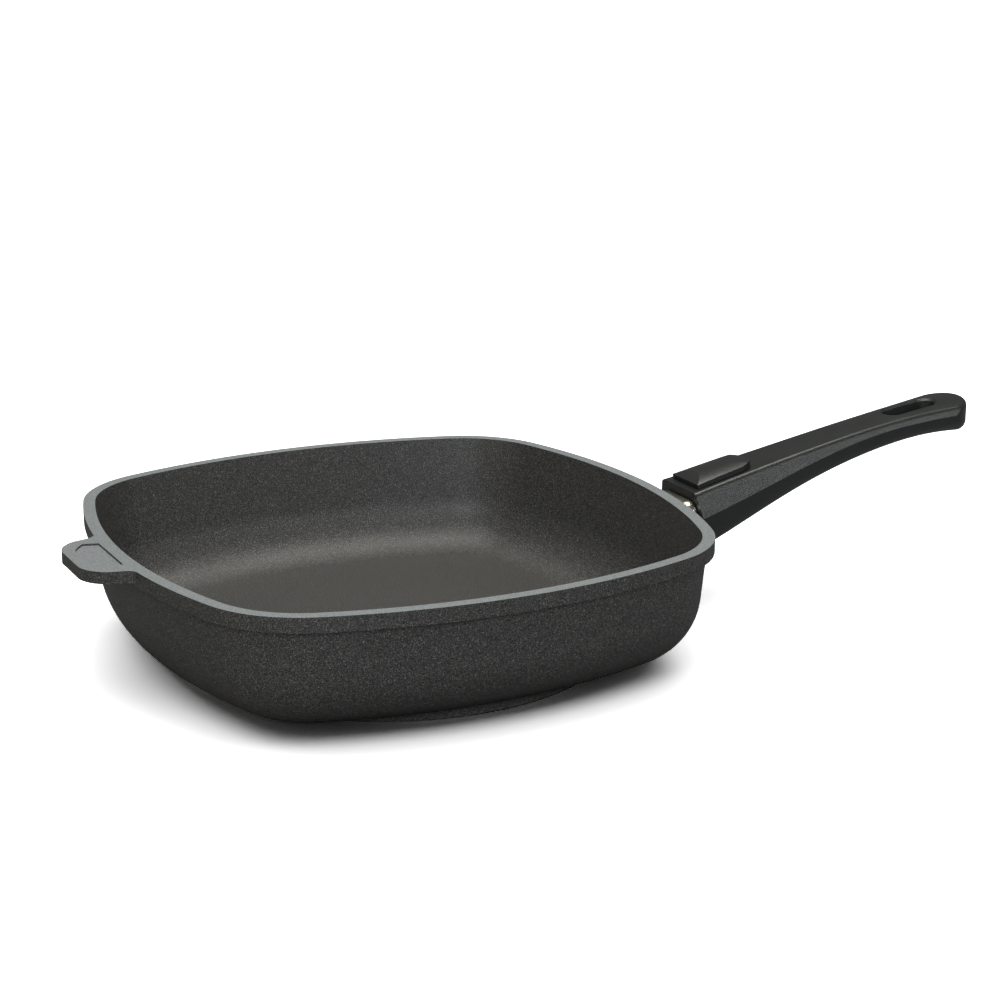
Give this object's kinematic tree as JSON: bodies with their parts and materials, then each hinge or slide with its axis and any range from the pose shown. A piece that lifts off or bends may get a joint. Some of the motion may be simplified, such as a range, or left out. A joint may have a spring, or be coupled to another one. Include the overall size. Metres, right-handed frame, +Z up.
{
  "type": "square frying pan",
  "caption": "Deep square cast frying pan with bowed sides, round corners, a helper tab and a removable handle with a slide catch.",
  "frame": {"origin": "centre of the round foot, on the table plane", "axes": "+X towards the handle, +Y across the pan, +Z up out of the pan"},
  "size_m": [0.5202, 0.2924, 0.0925],
  "materials": {
    "coated_aluminium": "dark speckled non-stick coating on cast aluminium, bare light grey land on the rim",
    "stainless_steel": "satin stainless casting with polished ridges",
    "screw_steel": "zinc plated steel",
    "liner_steel": "plain sheet steel",
    "spring_steel": "oil tempered spring steel",
    "phenolic_plastic": "satin moulded phenolic, fine grained",
    "slider_plastic": "satin moulded phenolic"
  },
  "bodies": {
    "pan": {"pan_body": "coated_aluminium", "handle_bracket": "stainless_steel", "bracket_screws": "screw_steel"},
    "handle": {"handle_grip": "phenolic_plastic", "socket_liner": "liner_steel", "liner_screw": "screw_steel", "latch_leaf": "spring_steel", "latch_rivet": "screw_steel", "slider_spring": "spring_steel", "spring_pin": "screw_steel"},
    "slider": {"slider_button": "slider_plastic", "slider_shoe": "liner_steel", "slider_screw": "screw_steel"}
  },
  "joints": [
    {"name": "handle_pull_off", "type": "slide", "parent": "pan", "child": "handle", "axis": [0.9816, 0, 0.1908], "range_m": [0, 0.04]},
    {"name": "slider_pull", "type": "slide", "parent": "handle", "child": "slider", "axis": [0.9816, 0, 0.1908], "range_m": [0, 0.006], "stiffness_N_per_m": 600, "springref_m": -0.005, "deforming": ["latch_leaf", "slider_spring"]}
  ]
}
